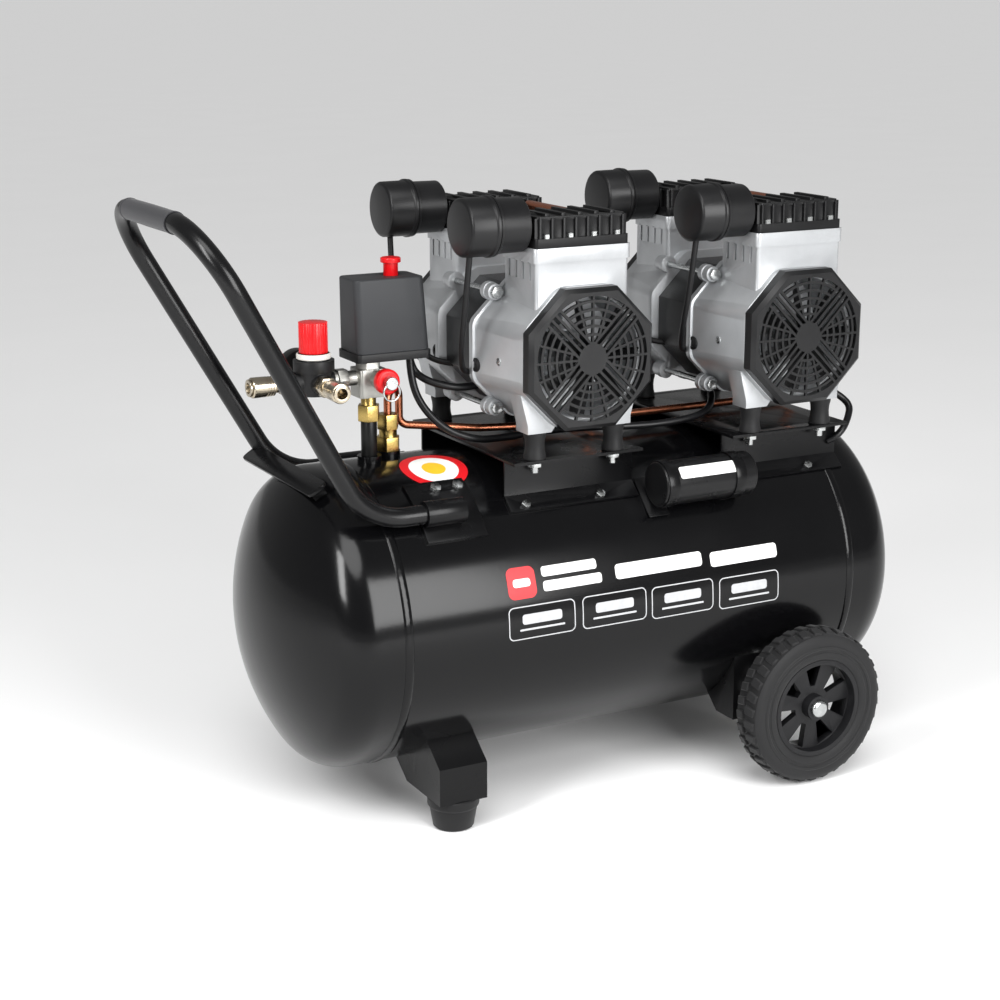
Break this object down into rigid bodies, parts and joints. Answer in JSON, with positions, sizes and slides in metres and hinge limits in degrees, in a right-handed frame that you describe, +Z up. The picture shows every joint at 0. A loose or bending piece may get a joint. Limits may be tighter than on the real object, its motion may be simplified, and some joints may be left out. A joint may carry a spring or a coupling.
{
  "type": "air compressor",
  "caption": "Wheeled air compressor: horizontal tank with domed ends, motor pumps on top, pressure switch, regulator and couplers, tube handle.",
  "frame": {"origin": "on the floor, under the middle of the whole machine", "axes": "+Z up, +X along the tank from the handle to the wheels, -Y towards the front, where the couplers point"},
  "size_m": [0.8096, 0.4086, 0.6175],
  "materials": {
    "black_paint": "gloss powder coat",
    "rubber": "matt moulded rubber",
    "tyre": "matt moulded rubber",
    "black_plastic": "fine moulded grain",
    "grey_plastic": "fine moulded grain",
    "red_plastic": "smooth moulded",
    "zinc_steel": "bright zinc plating",
    "black_steel": "black oxide",
    "brass": "machined",
    "nickel": "nickel plating",
    "cast_aluminium": "sand cast and painted silver",
    "copper": "drawn copper tube",
    "cable": "smooth sheath",
    "lamination": "varnished steel laminations",
    "machined_steel": "ground"
  },
  "bodies": {
    "frame": {"tank_shell": "black_paint", "tank_head_left": "black_paint", "tank_head_right": "black_paint", "foot_brackets": "black_paint", "rubber_feet": "rubber", "wheel_brackets": "black_paint", "axle_bolts": "zinc_steel", "handle_tube": "black_paint", "handle_grip": "rubber", "handle_sockets": "black_paint", "handle_stay": "black_paint", "pump_platforms": "black_paint", "bolts_and_screws": "zinc_steel", "rubber_mounts": "rubber", "riser_pipe": "black_steel", "union_nut": "brass", "manifold_block": "nickel", "pressure_switch_base": "black_plastic", "pressure_switch_cover": "grey_plastic", "safety_valve_body": "nickel", "safety_valve_cap": "red_plastic", "regulator_body": "black_plastic", "gauge_case": "black_steel", "coupler_bodies": "nickel", "check_valve": "brass", "air_tubes": "copper", "wiring": "cable", "filter_hoses": "rubber", "capacitor_cases": "black_plastic", "capacitor_brackets": "black_paint", "drain_valve_body": "brass", "left_crankcases": "cast_aluminium", "left_stator": "lamination", "left_heads": "black_paint", "left_filters": "black_plastic", "left_fan_covers": "black_plastic", "right_crankcases": "cast_aluminium", "right_stator": "lamination", "right_heads": "black_paint", "right_filters": "black_plastic", "right_fan_covers": "black_plastic"},
    "front_wheel": {"front_tyre": "tyre", "front_wheel_rim": "black_plastic"},
    "rear_wheel": {"rear_tyre": "tyre", "rear_wheel_rim": "black_plastic"},
    "switch_knob": {"switch_knob": "red_plastic"},
    "regulator_knob": {"regulator_knob": "red_plastic"},
    "gauge_needle": {"gauge_needle": "black_steel"},
    "left_coupler_sleeve": {"left_coupler_sleeve": "nickel"},
    "front_coupler_sleeve": {"front_coupler_sleeve": "nickel"},
    "safety_valve_ring": {"safety_valve_ring": "zinc_steel"},
    "drain_knob": {"drain_knob": "brass"},
    "left_rotor": {"left_rotor": "machined_steel", "left_fans": "black_plastic"},
    "left_front_piston": {"left_front_piston": "cast_aluminium"},
    "left_rear_piston": {"left_rear_piston": "cast_aluminium"},
    "right_rotor": {"right_rotor": "machined_steel", "right_fans": "black_plastic"},
    "right_front_piston": {"right_front_piston": "cast_aluminium"},
    "right_rear_piston": {"right_rear_piston": "cast_aluminium"}
  },
  "joints": [
    {"name": "front_wheel_spin", "type": "hinge", "parent": "frame", "child": "front_wheel", "pos_m": [0.232, -0.18175, 0.0832], "axis": [0, 1, 0], "continuous": true},
    {"name": "rear_wheel_spin", "type": "hinge", "parent": "frame", "child": "rear_wheel", "pos_m": [0.232, 0.18175, 0.0832], "axis": [0, 1, 0], "continuous": true},
    {"name": "left_rotor_spin", "type": "hinge", "parent": "frame", "child": "left_rotor", "pos_m": [-0.007, 0, 0.461], "axis": [0, 1, 0], "continuous": true},
    {"name": "left_front_rod", "type": "hinge", "parent": "left_rotor", "child": "left_front_piston", "pos_m": [-0.007, -0.083, 0.467], "axis": [0, 1, 0], "continuous": true},
    {"name": "left_rear_rod", "type": "hinge", "parent": "left_rotor", "child": "left_rear_piston", "pos_m": [-0.007, 0.083, 0.455], "axis": [0, 1, 0], "continuous": true},
    {"name": "right_rotor_spin", "type": "hinge", "parent": "frame", "child": "right_rotor", "pos_m": [0.248, 0, 0.461], "axis": [0, 1, 0], "continuous": true},
    {"name": "right_front_rod", "type": "hinge", "parent": "right_rotor", "child": "right_front_piston", "pos_m": [0.248, -0.083, 0.467], "axis": [0, 1, 0], "continuous": true},
    {"name": "right_rear_rod", "type": "hinge", "parent": "right_rotor", "child": "right_rear_piston", "pos_m": [0.248, 0.083, 0.455], "axis": [0, 1, 0], "continuous": true},
    {"name": "switch_knob_pull", "type": "slide", "parent": "frame", "child": "switch_knob", "axis": [0, 0, 1], "range_m": [-0.006, 0]},
    {"name": "regulator_turn", "type": "hinge", "parent": "frame", "child": "regulator_knob", "pos_m": [-0.239, 0, 0.48], "axis": [0, 0, 1], "range_deg": [-540, 540]},
    {"name": "gauge_needle_turn", "type": "hinge", "parent": "frame", "child": "gauge_needle", "pos_m": [-0.239, 0.0395, 0.443], "axis": [0, -1, 0], "range_deg": [0, 270]},
    {"name": "left_coupler_release", "type": "slide", "parent": "frame", "child": "left_coupler_sleeve", "axis": [1, 0, 0], "range_m": [0, 0.005], "stiffness_N_per_m": 600, "springref_m": -0.004},
    {"name": "front_coupler_release", "type": "slide", "parent": "frame", "child": "front_coupler_sleeve", "axis": [0, 1, 0], "range_m": [0, 0.005], "stiffness_N_per_m": 600, "springref_m": -0.004},
    {"name": "safety_valve_pull", "type": "slide", "parent": "frame", "child": "safety_valve_ring", "axis": [0, -1, 0], "range_m": [0, 0.004], "stiffness_N_per_m": 600, "springref_m": -0.003},
    {"name": "drain_knob_turn", "type": "hinge", "parent": "frame", "child": "drain_knob", "pos_m": [0.28, 0, 0.025], "axis": [0, 0, 1], "range_deg": [0, 90]}
  ],
  "couplings": [
    {"joint": "left_front_rod", "follows": "left_rotor_spin", "ratio": -1},
    {"joint": "left_rear_rod", "follows": "left_rotor_spin", "ratio": -1},
    {"joint": "right_front_rod", "follows": "right_rotor_spin", "ratio": -1},
    {"joint": "right_rear_rod", "follows": "right_rotor_spin", "ratio": -1}
  ]
}
